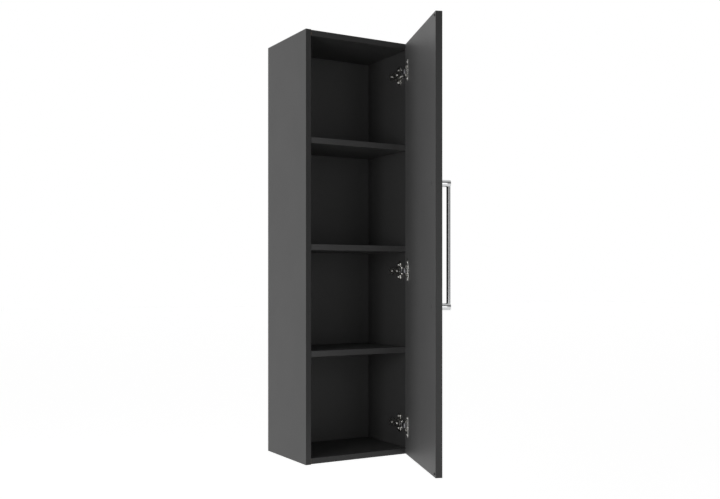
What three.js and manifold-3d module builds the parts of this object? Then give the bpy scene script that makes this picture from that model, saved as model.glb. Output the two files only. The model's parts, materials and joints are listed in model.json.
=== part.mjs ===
// Tall wall-hung bathroom cabinet with one door on three concealed cup hinges.
// Millimetres, +X to the right, +Y towards the wall, +Z up. The front faces -Y.
// The origin is the centre of the hanging rail's rear face, on the wall plane.
import * as THREE from 'three';
import { mergeVertices } from 'three/addons/utils/BufferGeometryUtils.js';
import Module from 'manifold-3d';

const wasm = await Module();
wasm.setup();

// ---- carcass ----
const cabinetWidth = 350;
const cabinetDepth = 250;
const cabinetHeight = 1200;
const boardThickness = 16;
const capInset = 1.3; // the side panels stand this far proud of the top and bottom panels
const shelfNames = ['lower', 'middle', 'upper'];
const shelfThickness = 16;
const shelfSetback = 2;
const backThickness = 3;
const backInset = 19.5; // clear space between back panel and wall
const grooveDepth = 7;
const railHeight = 80;
const railThickness = 16;
const boardGap = 0.2; // between boards that meet
const fitGap = 0.3; // round a piece that sits in a cut, or that is turned
const largeSides = 32; // facets round a cup, post or bar
const smallSides = 14; // facets round a screw, pin or small hole

// ---- hanger plates, let flush into the rail ----
const hangerInset = 39; // from a side panel's inner face to a plate's centre
const hangerLength = 50;
const hangerHeight = 24;
const hangerThickness = 2;
const hangerScrewSpacing = 36;
const hangerScrewRadius = 1.9;
const hangerScrewLength = 13;
const hangerScrewHead = 3.4;
const keyholeRadius = 5;
const keyholeSlot = 5.6;
const keyholeRise = 9;
const pocketMargin = 1.5; // round the keyhole, behind the plate
const pocketDepth = 12;

// ---- door ----
const doorThickness = 18;
const doorReveal = 2.8; // hinge side, in from the cabinet's outer side face
const doorFreeReveal = 3.2;
const doorGap = 3.2; // behind the closed door
const doorGapBelow = 3.8;
const doorGapAbove = 4.2;
const doorOpening = 70; // degrees, as modelled
const swingAxisInset = 13.7; // in from the cabinet's outer side face
const swingAxisForward = 24; // in front of the carcass
const bumperRadius = 3.5;
const bumperThickness = 2.1;
const bumperInset = 9;

// ---- handle ----
const handleSpacing = 320;
const handleFromEdge = 43; // in from the door's free edge
const postRadius = 9.5;
const postLength = 32.2;
const postDome = 1.4;
const barRadius = 5.5;
const barStandoff = 28; // from the door's face to the bar's axis
const handleScrewRadius = 2;
const handleScrewGrip = 12; // thread in the post
const handleScrewHead = 4.2;
const handleScrewHeadHeight = 2.6;
const counterboreRadius = 5;
const counterboreDepth = 4.6;
const coverThickness = 1.2;

// ---- hinge: heights ----
const hingeFromBottom = 87;
const hingeFromTop = 87;
const hingeBelowShelf = 56; // middle hinge below the middle shelf

// ---- hinge: cup in the door ----
const cupRadius = 17.5;
const cupDepth = 13.2;
const cupWall = 1.1;
const cupFromEdge = 22; // cup's centre from the door's hinge edge
const flangeThickness = 1.2;
const flangeRim = 1.2;
const flangeLength = 64;
const flangeWidth = 18;
const flangeOffset = 9.5; // the screws' line, further from the edge than the cup's centre
const cupScrewSpacing = 48;
const cupScrewRadius = 1.9;
const cupScrewLength = 12;
const cupScrewHead = 3.8;
const cupScrewHeadHeight = 1.5;

// ---- hinge: links ----
const cupPinFromEdge = 11; // from the door's hinge edge
const cupPinDepth = 5.5; // below the door's inner face
const armPinBack = 6; // behind the carcass front
const armPinRise = 17; // off the side panel
const pinRadius = 1.45;
const pinOverhang = 3; // past the link, into the cup's bosses
const linkHalfWidth = 6.4;
const linkCheek = 2.6;
const linkThickness = 1.9;
const linkEye = 2.2;
const linkArch = 15.5;
const linkArchReach = 10;

// ---- hinge: arm ----
const armLength = 76;
const armTop = 18.5;
const armSheet = 1.5;
const armInnerHalf = 7.2;
const armCheek = 2;
const armNose = 3.8;
const armDeckStart = 15.5;
const rivetRadius = 2.4;
const rivetHeight = 0.7;
const adjustScrewBack = 32;
const lockScrewBack = 60;
const armScrewRadius = 2.4;
const armScrewHead = 3.6;
const armScrewHeadHeight = 1.8;

// ---- hinge: plate on the side panel ----
const plateLine = 43; // the wings' middle behind the carcass front
const plateThickness = 2.2;
const plateSpan = 56;
const plateWing = 24;
const plateBaseHalf = 10;
const ribBack = 36.5; // behind the carcass front
const ribWidth = 3;
const ribHeight = 1.5;
const ribLength = 12;
const ridgeStart = 22;
const ridgeEnd = 72;
const ridgeHeight = 6;
const plateScrewBack = 48; // behind the carcass front
const plateScrewSpacing = 36;
const plateScrewRadius = 2.5;
const plateScrewLength = 12;
const plateScrewHead = 4;
const plateScrewHeadHeight = 1.9;

// ---- derived ----
const sideX = cabinetWidth / 2 - boardThickness; // a side panel's inner face
const frontY = -cabinetDepth;
const backY = -backInset - backThickness; // back panel's front face
const floorZ = capInset + boardThickness;
const ceilingZ = cabinetHeight - capInset - boardThickness;
const railZ = ceilingZ - boardGap - railHeight / 2;
const hangerX = sideX - hangerInset;
const bayHeight = (ceilingZ - floorZ - shelfNames.length * shelfThickness) / (shelfNames.length + 1);
const shelfZ = shelfNames.map((_, i) => floorZ + (i + 1) * bayHeight + i * shelfThickness);
const doorWidth = cabinetWidth - doorReveal - doorFreeReveal;
const doorHeight = cabinetHeight - doorGapBelow - doorGapAbove;
const hingeHeights = {
  lower: hingeFromBottom,
  middle: shelfZ[1] - hingeBelowShelf,
  upper: cabinetHeight - hingeFromTop,
};

// the closed door seen from the swing axis
const axis = new THREE.Vector2(cabinetWidth / 2 - swingAxisInset, frontY - swingAxisForward);
const openAngle = THREE.MathUtils.degToRad(doorOpening);
const edgeX = cabinetWidth / 2 - doorReveal - axis.x; // hinge edge
const innerY = frontY - doorGap - axis.y; // inner face
const freeX = edgeX - doorWidth;
const outerY = innerY - doorThickness;
const cupX = edgeX - cupFromEdge;
const handleX = freeX + handleFromEdge;
const handleZ = [-1, 1].map((side) => doorGapBelow + doorHeight / 2 + side * handleSpacing / 2);

// ---- materials ----
const finish = (color, roughness, metalness = 0) =>
  new THREE.MeshStandardMaterial({ color, roughness, metalness });
const boardFinish = finish(0x46474a, 0.55);
const backFinish = finish(0x3f4043, 0.65);
const steelFinish = finish(0xb9bbbd, 0.3, 1);
const zincFinish = finish(0xa9abad, 0.4, 1);
const chromeFinish = finish(0xd4d6d8, 0.15, 1);
const coverFinish = finish(0x3c3d40, 0.5);
const bumperFinish = finish(0x2f3031, 0.6);

// ---- geometry helpers ----
function block([x0, x1], [y0, y1], [z0, z1]) {
  const box = new THREE.BoxGeometry(Math.abs(x1 - x0), Math.abs(y1 - y0), Math.abs(z1 - z0));
  return box.translate((x0 + x1) / 2, (y0 + y1) / 2, (z0 + z1) / 2);
}

// a round rod from a start point along +X, +Y or +Z
function rod(direction, radius, length, [x, y, z], sides = smallSides) {
  const geometry = new THREE.CylinderGeometry(radius, radius, length, sides).translate(0, length / 2, 0);
  if (direction === 'x') geometry.rotateZ(-Math.PI / 2);
  if (direction === 'z') geometry.rotateX(Math.PI / 2);
  return geometry.translate(x, y, z);
}

// a round profile of [radius, height] points about the Y axis
function turned(profile, sides) {
  return new THREE.LatheGeometry(profile.map(([x, y]) => new THREE.Vector2(x, y)), sides);
}

// an outline drawn in XY and raised from z0 to z1
function raised(shape, z0, z1, curveSegments = smallSides / 2) {
  const options = { depth: z1 - z0, bevelEnabled: false, curveSegments };
  return new THREE.ExtrudeGeometry(shape, options).translate(0, 0, z0);
}

// an outline with half-round ends, its length along Y
function stadium(width, length, cx = 0, cy = 0) {
  const radius = width / 2;
  const reach = length / 2 - radius;
  const shape = new THREE.Shape();
  shape.absarc(cx, cy + reach, radius, 0, Math.PI, false);
  shape.absarc(cx, cy - reach, radius, Math.PI, 2 * Math.PI, false);
  return shape;
}

// a pan-head screw along -Y, its head above y = 0
function panScrew(radius, length, headRadius, headHeight) {
  return turned([
    [0, -length], [radius * 0.5, -length], [radius, -length + radius], [radius, 0],
    [headRadius, 0], [headRadius, headHeight * 0.5], [headRadius * 0.7, headHeight], [0, headHeight],
  ], smallSides);
}

// a countersunk screw along -Y, its head's flat face at y = 0
function flatScrew(radius, length, headRadius) {
  return turned([
    [0, -length], [radius * 0.5, -length], [radius, -length + radius], [radius, radius - headRadius],
    [headRadius, 0], [0, 0],
  ], smallSides);
}

function solid(geometry) {
  const bare = geometry.clone();
  bare.deleteAttribute('normal');
  bare.deleteAttribute('uv');
  const merged = mergeVertices(bare, 1e-4);
  return new wasm.Manifold(new wasm.Mesh({
    numProp: 3,
    vertProperties: new Float32Array(merged.attributes.position.array),
    triVerts: new Uint32Array(merged.index.array),
  }));
}

function geometryOf(manifold) {
  const { vertProperties, triVerts } = manifold.getMesh();
  const geometry = new THREE.BufferGeometry();
  geometry.setAttribute('position', new THREE.BufferAttribute(new Float32Array(vertProperties), 3));
  geometry.setIndex(new THREE.BufferAttribute(new Uint32Array(triVerts), 1));
  geometry.computeVertexNormals();
  return geometry;
}

function shaped(parts, cuts = []) {
  const whole = parts.map(solid).reduce((body, part) => body.add(part));
  return geometryOf(cuts.map(solid).reduce((body, tool) => body.subtract(tool), whole));
}

function piece(name, geometry, material) {
  const mesh = new THREE.Mesh(geometry, material);
  mesh.name = name;
  return mesh;
}

function groupOf(items, [x, y, z] = [0, 0, 0]) {
  const group = new THREE.Group();
  group.add(...items);
  group.position.set(x, y, z);
  return group;
}

// ---- carcass boards ----
const grooveY = [backY - fitGap, -backInset + fitGap];

function sidePanel(side) {
  const board = block([side * sideX, side * cabinetWidth / 2], [frontY, 0], [0, cabinetHeight]);
  const grooveX = [side * (sideX - 1), side * (sideX + grooveDepth + fitGap)];
  const groove = block(grooveX, grooveY, [floorZ - grooveDepth - fitGap, ceilingZ + grooveDepth + fitGap]);
  if (side < 0) return shaped([board], [groove]);
  const pilots = Object.values(hingeHeights).flatMap((height) => [-1, 1].map((end) => {
    const start = [sideX - 1, frontY + plateScrewBack, height + end * plateScrewSpacing / 2];
    return rod('x', plateScrewRadius + fitGap, plateScrewLength + 1 + fitGap, start);
  }));
  return shaped([board], [groove, ...pilots]);
}

// the top or bottom panel; face is its inside face, and side points from it into the board
function capPanel(face, side) {
  const half = sideX - boardGap;
  const board = block([-half, half], [frontY, 0], [face, face + side * boardThickness]);
  const groove = block([-half - 1, half + 1], grooveY, [face - side, face + side * (grooveDepth + fitGap)]);
  return shaped([board], [groove]);
}

function shelf(z) {
  const half = sideX - boardGap;
  return block([-half, half], [frontY + shelfSetback, backY - boardGap], [z, z + shelfThickness]);
}

const backHalf = sideX + grooveDepth;
const backZ = [floorZ - grooveDepth, ceilingZ + grooveDepth];
const backPanel = block([-backHalf, backHalf], [backY, -backInset], backZ);

const carcassPieces = [
  piece('side_panel_left', sidePanel(-1), boardFinish),
  piece('side_panel_right', sidePanel(1), boardFinish),
  piece('bottom_panel', capPanel(floorZ, -1), boardFinish),
  piece('top_panel', capPanel(ceilingZ, 1), boardFinish),
  piece('back_panel', backPanel, backFinish),
  ...shelfNames.map((name, i) => piece(`shelf_${name}`, shelf(shelfZ[i]), boardFinish)),
];

// ---- hanging rail and its keyhole plates ----
// a shape drawn upright in XZ and sunk from the wall plane to a depth
const sunk = (shape, from, depth) => raised(shape, from, depth).rotateX(Math.PI / 2);
const slotBottom = -keyholeRise / 2;

function hangerPlate() {
  const outline = sunk(stadium(hangerHeight, hangerLength), 0, hangerThickness).rotateY(Math.PI / 2);
  const slotCentre = slotBottom + keyholeRise / 2;
  const slot = sunk(stadium(keyholeSlot, keyholeRise + keyholeSlot, 0, slotCentre), -1, hangerThickness + 1);
  const mouth = rod('y', keyholeRadius, hangerThickness + 2, [0, -hangerThickness - 1, slotBottom]);
  // the countersink runs out past the plate's face
  const screwHole = flatScrew(hangerScrewRadius + fitGap, hangerScrewLength, hangerScrewHead + 2 * fitGap);
  const screwHoles = [-1, 1].map((side) => screwHole.clone().translate(side * hangerScrewSpacing / 2, fitGap, 0));
  return shaped([outline], [slot, mouth, ...screwHoles]);
}

function railCuts(x) {
  const recessShape = stadium(hangerHeight + 2 * fitGap, hangerLength + 2 * fitGap);
  const recess = sunk(recessShape, -1, hangerThickness + fitGap).rotateY(Math.PI / 2);
  const half = keyholeRadius + pocketMargin;
  const pocketZ = [slotBottom - half, slotBottom + keyholeRise + half];
  const pocket = block([-half, half], [-pocketDepth, -hangerThickness], pocketZ);
  const bores = [-1, 1].map((side) => {
    const start = [side * hangerScrewSpacing / 2, -hangerScrewLength - fitGap, 0];
    return rod('y', hangerScrewRadius + fitGap, hangerScrewLength, start);
  });
  return [recess, pocket, ...bores].map((tool) => tool.translate(x, 0, railZ));
}

function hangingRail() {
  const half = sideX - boardGap;
  const z = [railZ - railHeight / 2, railZ + railHeight / 2];
  return shaped([block([-half, half], [-railThickness, 0], z)], [-hangerX, hangerX].flatMap(railCuts));
}

carcassPieces.push(piece('hanging_rail', hangingRail(), boardFinish));

for (const [name, x] of [['left', -hangerX], ['right', hangerX]]) {
  const screw = flatScrew(hangerScrewRadius, hangerScrewLength, hangerScrewHead);
  const half = Math.sign(x) * hangerScrewSpacing / 2;
  carcassPieces.push(
    piece(`hanger_plate_${name}`, hangerPlate().translate(x, 0, railZ), steelFinish),
    piece(`hanger_screw_${name}_outer`, screw.clone().translate(x + half, 0, railZ), steelFinish),
    piece(`hanger_screw_${name}_inner`, screw.clone().translate(x - half, 0, railZ), steelFinish),
  );
}

// ---- hinge half on the side panel ----
// Here x rises off the panel into the cabinet, and y runs back from the carcass front.
const plateTop = fitGap + plateThickness;
const toPanel = new THREE.Matrix4().makeBasis( // outline X to y, outline Y to z, its depth to x
  new THREE.Vector3(0, 1, 0), new THREE.Vector3(0, 0, 1), new THREE.Vector3(1, 0, 0));

function hingePlate() {
  const wing = raised(stadium(plateWing, plateSpan, plateLine), fitGap, plateTop).applyMatrix4(toPanel);
  const base = block([fitGap, plateTop], [ridgeStart + 1, ridgeEnd - 1], [-plateBaseHalf, plateBaseHalf]);
  const ridge = block([fitGap, ridgeHeight], [ridgeStart, ridgeEnd], [-linkHalfWidth, linkHalfWidth]);
  const ribs = [-1, 1].map((end) => {
    const middle = end * plateScrewSpacing / 2;
    return block([fitGap, plateTop + ribHeight], [ribBack - ribWidth / 2, ribBack + ribWidth / 2],
      [middle - ribLength / 2, middle + ribLength / 2]);
  });
  const screwHoles = [-1, 1].map((end) =>
    rod('x', plateScrewRadius + fitGap, plateTop + 2, [-1, plateScrewBack, end * plateScrewSpacing / 2]));
  const lockHole = rod('x', armScrewRadius + fitGap, ridgeHeight, [plateTop - 1, lockScrewBack, 0]);
  return shaped([wing, base, ridge, ...ribs], [...screwHoles, lockHole]);
}

function armOutline() {
  const foot = plateTop + fitGap;
  const shape = new THREE.Shape();
  shape.moveTo(armPinRise - armNose, armPinBack);
  shape.lineTo(armPinRise - armNose - 2, armPinBack + armNose);
  shape.lineTo(foot, ridgeStart - 1);
  shape.lineTo(foot, armLength);
  shape.lineTo(armTop - armSheet, armLength);
  shape.quadraticCurveTo(armTop, armLength, armTop, armLength - armSheet);
  shape.lineTo(armTop, armPinBack + armNose + 4);
  shape.lineTo(armPinRise + armNose, armPinBack + 1);
  shape.absarc(armPinRise, armPinBack, armNose, 0, -Math.PI, true);
  return shape;
}

function hingeArm() {
  const outer = armInnerHalf + armCheek;
  const sides = [[armInnerHalf, outer], [-outer, -armInnerHalf]];
  const cheeks = sides.map(([z0, z1]) => raised(armOutline(), z0, z1));
  const deck = block([armTop - armSheet, armTop], [armDeckStart, armLength - armSheet], [-outer, outer]);
  const rivetLength = armCheek + rivetHeight;
  const rivets = [outer - armCheek, -outer - rivetHeight].map((z) =>
    rod('z', rivetRadius, rivetLength, [armPinRise, armPinBack, z]));
  const screwHoles = [lockScrewBack, adjustScrewBack].map((y) =>
    rod('x', armScrewRadius + fitGap, 2 * armSheet, [armTop - 1.5 * armSheet, y, 0]));
  return shaped([...cheeks, deck, ...rivets], screwHoles);
}

function screwOffPanel(screw, rise, back, z = 0) {
  return screw.rotateZ(-Math.PI / 2).translate(rise, back, z);
}

function wallHalf(where, height) {
  const armScrewRise = armTop + fitGap;
  const lockScrew = panScrew(armScrewRadius, armScrewRise - plateTop, armScrewHead, armScrewHeadHeight);
  const adjustScrew = panScrew(armScrewRadius, armTop - ridgeHeight, armScrewHead, armScrewHeadHeight);
  const plateScrew = (end) => screwOffPanel(
    panScrew(plateScrewRadius, plateScrewLength + plateTop, plateScrewHead, plateScrewHeadHeight),
    plateTop + fitGap, plateScrewBack, end * plateScrewSpacing / 2);
  const half = groupOf([
    piece(`${where}_hinge_plate`, hingePlate(), steelFinish),
    piece(`${where}_hinge_arm`, hingeArm(), steelFinish),
    piece(`${where}_lock_screw`, screwOffPanel(lockScrew, armScrewRise, lockScrewBack), steelFinish),
    piece(`${where}_adjust_screw`, screwOffPanel(adjustScrew, armScrewRise, adjustScrewBack), steelFinish),
    piece(`${where}_plate_screw_top`, plateScrew(-1), steelFinish),
    piece(`${where}_plate_screw_bottom`, plateScrew(1), steelFinish),
  ], [sideX, frontY, height]);
  half.rotation.y = Math.PI;
  return half;
}

// ---- hinge half in the door ----
// Here the origin is the cup's centre on the door's inner face, +X to the hinge edge, +Y off the face.
const pinX = cupFromEdge - cupPinFromEdge;
const flangeTop = fitGap + flangeThickness;
const toDoor = new THREE.Matrix4().makeBasis( // outline X to x, outline Y to z, its depth to -y
  new THREE.Vector3(1, 0, 0), new THREE.Vector3(0, 0, 1), new THREE.Vector3(0, -1, 0));

function hingeCup() {
  const mouth = cupRadius - cupWall;
  const floor = cupWall - cupDepth;
  const bowl = turned([
    [0, -cupDepth], [cupRadius - 1, -cupDepth], [cupRadius, 1 - cupDepth], [cupRadius, fitGap],
    [cupRadius + flangeRim, fitGap], [cupRadius + flangeRim, flangeTop], [mouth, flangeTop],
    [mouth, floor], [0, floor],
  ], largeSides);
  const flangeShape = stadium(flangeWidth, flangeLength, -flangeOffset);
  const flange = raised(flangeShape, -flangeTop, -fitGap).applyMatrix4(toDoor);
  const opening = rod('y', mouth, 2 * cupDepth, [0, floor, 0], largeSides);
  const screwHoles = [-1, 1].map((end) =>
    rod('y', cupScrewRadius + fitGap, 2 * flangeTop, [-flangeOffset, 0, end * cupScrewSpacing / 2]));
  const ears = solid(flange).subtract(solid(opening));
  const bossTop = linkEye - cupPinDepth;
  const bosses = [-1, 1].map((end) => solid(block([pinX - 3, pinX + 3], [floor - cupWall / 2, bossTop],
    [end * (linkHalfWidth + 0.6), end * mouth])));
  const inCup = solid(rod('y', mouth + cupWall / 2, cupDepth, [0, -cupDepth, 0], largeSides));
  const pinReach = linkHalfWidth + pinOverhang + fitGap;
  const pinBore = solid(rod('z', pinRadius + fitGap, 2 * pinReach, [pinX, -cupPinDepth, -pinReach]));
  const bossPair = bosses[0].add(bosses[1]).intersect(inCup).subtract(pinBore);
  return geometryOf(screwHoles.map(solid).reduce((cup, hole) => cup.subtract(hole),
    solid(bowl).add(ears).add(bossPair)));
}

// the line from the pin in the cup to the pin in the arm, as modelled, in the closed door's frame
const cupPin = new THREE.Vector2(edgeX - cupPinFromEdge, innerY - cupPinDepth);
const armPin = new THREE.Vector2(sideX - armPinRise, frontY + armPinBack).sub(axis);
const linkLine = armPin.rotateAround(new THREE.Vector2(), -openAngle).sub(cupPin);
const linkLength = linkLine.length();

// the swan neck that carries a link over the door's edge
const neck = new THREE.CubicBezierCurve(
  new THREE.Vector2(0, 0),
  new THREE.Vector2(-linkThickness, linkArch),
  new THREE.Vector2(linkArchReach, linkArch),
  new THREE.Vector2(linkLength, 0),
);

function strap(from, to, thickness, steps) {
  const edges = [[], []];
  for (let i = 0; i <= steps; i += 1) {
    const at = from + (to - from) * i / steps;
    const along = neck.getTangent(at);
    const across = new THREE.Vector2(-along.y, along.x).multiplyScalar(thickness / 2);
    edges[0].push(neck.getPoint(at).add(across));
    edges[1].unshift(neck.getPoint(at).sub(across));
  }
  return new THREE.Shape(edges.flat());
}

function outerLink() {
  const inner = linkHalfWidth - linkCheek;
  const pinReach = linkHalfWidth + pinOverhang;
  const cheeks = [[inner, linkHalfWidth], [-linkHalfWidth, -inner]].map(([z0, z1]) =>
    raised(strap(0, 1, linkThickness, 12), z0, z1));
  const eyes = [0, linkLength].map((x) => rod('z', linkEye, 2 * linkHalfWidth, [x, 0, -linkHalfWidth]));
  const pin = rod('z', pinRadius, 2 * pinReach, [0, 0, -pinReach]);
  return shaped([...cheeks, ...eyes, pin]);
}

function innerLink() {
  const half = linkHalfWidth - linkCheek - fitGap;
  return raised(strap(0.18, 0.86, linkThickness * 0.8, 8), -half, half);
}

function doorHalf(where, height) {
  const cupScrew = panScrew(cupScrewRadius, cupScrewLength, cupScrewHead, cupScrewHeadHeight);
  const rise = flangeTop + fitGap;
  const screwAt = (end) => cupScrew.clone().translate(-flangeOffset, rise, end * cupScrewSpacing / 2);
  const cup = groupOf([
    piece(`${where}_hinge_cup`, hingeCup(), steelFinish),
    piece(`${where}_cup_screw_top`, screwAt(1), steelFinish),
    piece(`${where}_cup_screw_bottom`, screwAt(-1), steelFinish),
  ], [cupX, innerY, height]);
  const links = groupOf([
    piece(`${where}_outer_link`, outerLink(), zincFinish),
    piece(`${where}_inner_link`, innerLink(), zincFinish),
  ], [cupPin.x, cupPin.y, height]);
  links.rotation.z = linkLine.angle();
  return [cup, links];
}

// ---- door panel ----
function doorPanel() {
  const cuts = [];
  for (const height of Object.values(hingeHeights)) {
    const cupBore = cupDepth + fitGap;
    cuts.push(rod('y', cupRadius + fitGap, cupBore + 1, [cupX, innerY - cupBore, height], largeSides));
    for (const end of [-1, 1]) {
      const start = [cupX - flangeOffset, innerY - cupScrewLength, height + end * cupScrewSpacing / 2];
      cuts.push(rod('y', cupScrewRadius + fitGap, cupScrewLength + 1, start));
    }
  }
  for (const z of handleZ) {
    cuts.push(rod('y', handleScrewRadius + fitGap, doorThickness + 2, [handleX, outerY - 1, z]));
    cuts.push(rod('y', counterboreRadius, counterboreDepth + 1, [handleX, innerY - counterboreDepth, z]));
  }
  return shaped([block([freeX, edgeX], [outerY, innerY], [doorGapBelow, doorGapBelow + doorHeight])], cuts);
}

// ---- handle ----
function handlePost(z) {
  const outside = turned([
    [0, 0], [postRadius - 0.4, 0], [postRadius, 0.4], [postRadius, postLength - 0.6],
    [postRadius - 0.6, postLength], [postRadius * 0.55, postLength + postDome * 0.75],
    [0, postLength + postDome],
  ], largeSides).rotateX(Math.PI);
  const bore = rod('y', handleScrewRadius + fitGap, handleScrewGrip + 1, [0, -handleScrewGrip, 0]);
  return shaped([outside], [bore]).translate(handleX, outerY - fitGap, z);
}

function handleBar() {
  const y = outerY - barStandoff;
  const seats = handleZ.map((z) =>
    rod('y', postRadius + fitGap, 4 * barRadius, [handleX, y - 2 * barRadius, z], largeSides));
  return shaped([rod('z', barRadius, handleSpacing, [handleX, y, handleZ[0]], largeSides)], seats);
}

function handlePieces(where, z) {
  const shank = doorThickness - counterboreDepth + handleScrewGrip - 1;
  const screw = panScrew(handleScrewRadius, shank, handleScrewHead, handleScrewHeadHeight);
  screw.translate(handleX, innerY - counterboreDepth + fitGap, z);
  const cover = rod('y', counterboreRadius - fitGap, coverThickness, [handleX, innerY - coverThickness, z]);
  return [
    piece(`handle_post_${where}`, handlePost(z), chromeFinish),
    piece(`handle_screw_${where}`, screw, steelFinish),
    piece(`screw_cover_${where}`, cover, coverFinish),
  ];
}

function bumper(where, z) {
  const start = [freeX + bumperInset, innerY + fitGap, z];
  return piece(`door_bumper_${where}`, rod('y', bumperRadius, bumperThickness, start), bumperFinish);
}

const doorPieces = [
  piece('door_panel', doorPanel(), boardFinish),
  piece('handle_bar', handleBar(), chromeFinish),
  ...handlePieces('lower', handleZ[0]),
  ...handlePieces('upper', handleZ[1]),
  bumper('lower', doorGapBelow + bumperInset),
  bumper('upper', doorGapBelow + doorHeight - bumperInset),
];

// ---- the whole cabinet ----
for (const [where, height] of Object.entries(hingeHeights)) {
  carcassPieces.push(wallHalf(where, height));
  doorPieces.push(...doorHalf(where, height));
}
const carcass = groupOf(carcassPieces);
const door = groupOf(doorPieces, [axis.x, axis.y, 0]);
door.rotation.z = openAngle;

const cabinet = groupOf([carcass, door], [0, 0, -railZ]);
cabinet.name = 'tall_wall_cabinet';

export default cabinet;
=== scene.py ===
import json
from math import atan2, cos, hypot, pi, radians, sin, sqrt, tan

import bmesh
import bpy
from mathutils import Matrix, Vector


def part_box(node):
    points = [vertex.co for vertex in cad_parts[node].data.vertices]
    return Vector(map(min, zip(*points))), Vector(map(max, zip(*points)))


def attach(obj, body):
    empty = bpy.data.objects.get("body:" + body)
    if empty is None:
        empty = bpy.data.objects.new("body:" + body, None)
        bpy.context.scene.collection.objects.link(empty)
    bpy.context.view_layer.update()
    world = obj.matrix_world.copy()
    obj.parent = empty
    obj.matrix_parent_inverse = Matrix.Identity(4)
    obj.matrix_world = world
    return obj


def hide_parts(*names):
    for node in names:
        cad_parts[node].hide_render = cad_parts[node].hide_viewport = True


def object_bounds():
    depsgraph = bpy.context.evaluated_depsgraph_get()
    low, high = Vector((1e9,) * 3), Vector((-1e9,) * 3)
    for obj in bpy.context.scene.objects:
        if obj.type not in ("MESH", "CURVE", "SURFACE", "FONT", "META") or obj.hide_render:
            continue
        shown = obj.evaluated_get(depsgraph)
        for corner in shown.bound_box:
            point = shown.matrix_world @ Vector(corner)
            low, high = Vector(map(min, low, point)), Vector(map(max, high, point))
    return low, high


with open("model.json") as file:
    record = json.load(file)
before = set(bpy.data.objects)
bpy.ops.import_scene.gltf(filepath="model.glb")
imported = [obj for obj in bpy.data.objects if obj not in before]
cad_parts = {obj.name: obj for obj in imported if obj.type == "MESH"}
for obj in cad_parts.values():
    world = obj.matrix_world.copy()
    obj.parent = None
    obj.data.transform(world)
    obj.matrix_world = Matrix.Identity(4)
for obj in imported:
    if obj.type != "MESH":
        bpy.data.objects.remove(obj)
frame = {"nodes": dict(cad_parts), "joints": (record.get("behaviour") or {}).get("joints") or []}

cadBounds = [list(corner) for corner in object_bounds()]
mm = 0.001
levels = ("lower", "middle", "upper")
scene = bpy.context.scene
scene.view_settings.view_transform = "Standard"
print("frame loaded:", len(frame["nodes"]), "nodes")

# the door is modelled open; everything on it is made in the closed door's frame and then swung
doorJoint = next(j for j in frame["joints"] if j["name"] == "door_swing")
doorAxis = Vector(doorJoint["pos_m"])
openTurn = -radians(doorJoint["range_deg"][0])
swingOpen = Matrix.Translation(doorAxis) @ Matrix.Rotation(openTurn, 4, "Z") @ Matrix.Translation(-doorAxis)
swingShut = swingOpen.inverted()


def boxAround(points):
    return [Vector([pick(p[i] for p in points) for i in range(3)]) for pick in (min, max)]


def shutBox(node):
    # a door node's box in the closed door's frame
    return boxAround([swingShut @ v.co for v in frame["nodes"][node].data.vertices])


def newGroup(name, inputs, outputs):
    tree = bpy.data.node_groups.new(name, "ShaderNodeTree")
    for label, kind, value in inputs:
        socket = tree.interface.new_socket(label, in_out="INPUT", socket_type=kind)
        socket.default_value = value
    for label, kind in outputs:
        tree.interface.new_socket(label, in_out="OUTPUT", socket_type=kind)
    return tree, tree.nodes.new("NodeGroupInput"), tree.nodes.new("NodeGroupOutput")


def addNode(tree, kind, settings=None, family="ShaderNode", **inputs):
    # an input is named i0, i1 and so on by its place, or by its label with _ for a space
    node = tree.nodes.new(family + kind)
    for key, value in (settings or {}).items():
        setattr(node, key, value)
    for key, value in inputs.items():
        byPlace = key[0] == "i" and key[1:].isdigit()
        socket = node.inputs[int(key[1:]) if byPlace else key.replace("_", " ")]
        if isinstance(value, bpy.types.NodeSocket):
            tree.links.new(value, socket)
        else:
            socket.default_value = value
    return node


def math(tree, operation, a, b=0.0, clamp=False):
    return addNode(tree, "Math", {"operation": operation, "use_clamp": clamp}, i0=a, i1=b).outputs[0]


def colour(r, g, b):
    # sRGB 0-255 to linear
    def channel(value):
        value /= 255
        return value / 12.92 if value <= 0.04045 else ((value + 0.055) / 1.055) ** 2.4
    return (channel(r), channel(g), channel(b), 1.0)


def around(tree, noise, amount):
    # the noise about zero, times its amount
    return math(tree, "MULTIPLY", math(tree, "SUBTRACT", noise.outputs["Fac"], 0.5), amount)


floatKind, colourKind, vectorKind = "NodeSocketFloat", "NodeSocketColor", "NodeSocketVector"


def makeSpeckle():
    # fine pearl and grain of a printed or moulded surface, with slow unevenness
    tree, given, result = newGroup("fineSpeckle", [
        ("Color", colourKind, (0.1, 0.1, 0.1, 1)), ("Grain Scale", floatKind, 2500.0),
        ("Grain Amount", floatKind, 0.2), ("Mottle Scale", floatKind, 9.0),
        ("Mottle Amount", floatKind, 0.05),
    ], [("Color", colourKind), ("Height", floatKind), ("Mottle", floatKind)])
    place = addNode(tree, "TexCoord").outputs["Object"]
    asked = given.outputs
    grain = addNode(tree, "TexNoise", Vector=place, Scale=asked["Grain Scale"], Detail=2.0, Roughness=0.7)
    mottle = addNode(tree, "TexNoise", Vector=place, Scale=asked["Mottle Scale"], Detail=3.0)
    grainPart = around(tree, grain, asked["Grain Amount"])
    mottlePart = around(tree, mottle, asked["Mottle Amount"])
    gain = math(tree, "ADD", math(tree, "ADD", grainPart, mottlePart), 1.0)
    tint = addNode(tree, "VectorMath", {"operation": "SCALE"}, i0=asked["Color"], Scale=gain)
    tree.links.new(tint.outputs[0], result.inputs["Color"])
    tree.links.new(grain.outputs["Fac"], result.inputs["Height"])
    tree.links.new(mottle.outputs["Fac"], result.inputs["Mottle"])
    return tree


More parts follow.
